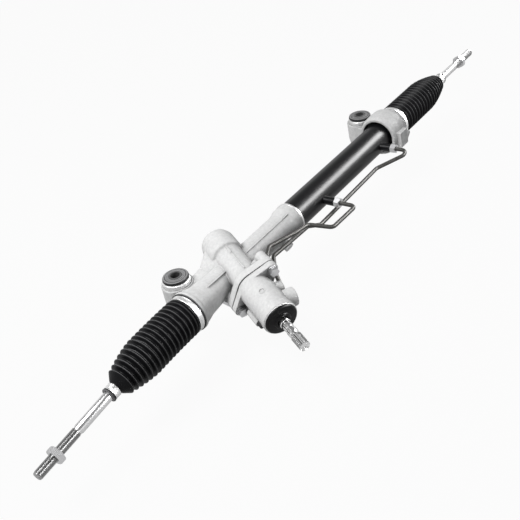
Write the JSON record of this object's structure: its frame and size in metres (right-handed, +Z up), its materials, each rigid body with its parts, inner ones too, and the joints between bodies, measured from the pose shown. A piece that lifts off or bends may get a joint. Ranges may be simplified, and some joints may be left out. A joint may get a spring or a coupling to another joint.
{
  "type": "hydraulic steering rack",
  "caption": "Hydraulic rack-and-pinion steering gear with slanted pinion tower, cylinder, rubber-bushed mounts, bellows boots and bare threaded tie rods.",
  "frame": {"origin": "centre of the left mounting bush bore, level with the rack axis", "axes": "+X along the rack towards the cylinder end, +Z up the mounting bushes"},
  "size_m": [1.2119, 0.2514, 0.1203],
  "materials": {
    "cast_aluminium": "satin as-cast",
    "black_tube": "gloss black",
    "bush_rubber": "matte",
    "bush_steel": "matte",
    "boot_rubber": "satin black",
    "cover_rubber": "matte black",
    "seal_rubber": "satin",
    "bright_steel": "bright",
    "zinc_steel": "zinc",
    "pipe_steel": "dark coated",
    "gear_steel": "ground",
    "bearing_steel": "ground",
    "plastic": "moulded",
    "black_plastic": "moulded"
  },
  "bodies": {
    "housing": {"cover_ring": "zinc_steel", "cylinder_tube": "black_tube", "dust_cover": "cover_rubber", "end_bracket": "cast_aluminium", "end_stopper": "cast_aluminium", "flange_bolts": "zinc_steel", "flange_seal": "seal_rubber", "flare_nuts": "zinc_steel", "guide_cap": "cast_aluminium", "guide_nut": "zinc_steel", "guide_springs": "gear_steel", "inner_bushing": "cast_aluminium", "inner_seal": "seal_rubber", "input_needle_bearing": "bearing_steel", "input_oil_seal": "seal_rubber", "left_big_clamp": "zinc_steel", "left_boot": "boot_rubber", "left_bush_rubber": "bush_rubber", "left_bush_shell": "bush_steel", "left_bush_sleeve": "bush_steel", "long_pipe": "pipe_steel", "outer_seal": "seal_rubber", "pinion_bearing_outer": "bearing_steel", "pinion_bearing_rollers": "bearing_steel", "pinion_needle_bush": "bearing_steel", "port_stubs": "black_tube", "rack_bush": "plastic", "rack_guide": "cast_aluminium", "rack_housing": "cast_aluminium", "right_big_clamp": "zinc_steel", "right_boot": "boot_rubber", "right_bush_rubber": "bush_rubber", "right_bush_shell": "bush_steel", "right_bush_sleeve": "bush_steel", "short_pipe": "pipe_steel", "valve_housing": "cast_aluminium", "valve_plug": "black_plastic"},
    "rack": {"rack_bar": "gear_steel", "piston": "cast_aluminium", "piston_ring": "plastic", "left_socket": "gear_steel", "right_socket": "gear_steel", "left_lock_washer": "zinc_steel", "right_lock_washer": "zinc_steel"},
    "pinion": {"pinion": "gear_steel", "torsion_bar": "gear_steel", "torsion_bar_pin": "gear_steel", "valve_sleeve": "gear_steel", "sleeve_rings": "plastic", "pinion_bearing_inner": "bearing_steel"},
    "input": {"input_shaft": "bright_steel"},
    "left_seat": {"left_ball_seat": "plastic"},
    "right_seat": {"right_ball_seat": "plastic"},
    "left_rod": {"left_tie_rod": "zinc_steel", "left_jam_nut": "zinc_steel", "left_small_clamp": "zinc_steel"},
    "right_rod": {"right_tie_rod": "zinc_steel", "right_jam_nut": "zinc_steel", "right_small_clamp": "zinc_steel"}
  },
  "joints": [
    {"name": "rack_slide", "type": "slide", "parent": "housing", "child": "rack", "axis": [1, 0, 0], "range_m": [-0.087, 0.053], "deforming": ["left_boot", "right_boot"]},
    {"name": "pinion_spin", "type": "hinge", "parent": "housing", "child": "pinion", "pos_m": [0.0692, -0.05041, 0.01724], "axis": [-0.412, -0.8939, -0.1768], "range_deg": [-600, 366]},
    {"name": "input_twist", "type": "hinge", "parent": "pinion", "child": "input", "pos_m": [0.04448, -0.10404, 0.00663], "axis": [-0.412, -0.8939, -0.1768], "range_deg": [-4, 4], "stiffness_Nm_per_rad": 1},
    {"name": "left_rod_sweep", "type": "hinge", "parent": "rack", "child": "left_seat", "pos_m": [-0.111, -0.047, 0], "axis": [0, 0, 1], "range_deg": [-18, 18], "deforming": ["left_boot"]},
    {"name": "left_rod_rise", "type": "hinge", "parent": "left_seat", "child": "left_rod", "pos_m": [-0.111, -0.047, 0], "axis": [0, 1, 0], "range_deg": [-10.7, 25.3], "deforming": ["left_boot"]},
    {"name": "right_rod_sweep", "type": "hinge", "parent": "rack", "child": "right_seat", "pos_m": [0.658, -0.047, 0], "axis": [0, 0, 1], "range_deg": [-18, 18], "deforming": ["right_boot"]},
    {"name": "right_rod_rise", "type": "hinge", "parent": "right_seat", "child": "right_rod", "pos_m": [0.658, -0.047, 0], "axis": [0, -1, 0], "range_deg": [-18, 18], "deforming": ["right_boot"]}
  ],
  "couplings": [
    {"joint": "pinion_spin", "follows": "rack_slide", "rad_per_m": 119.89}
  ]
}
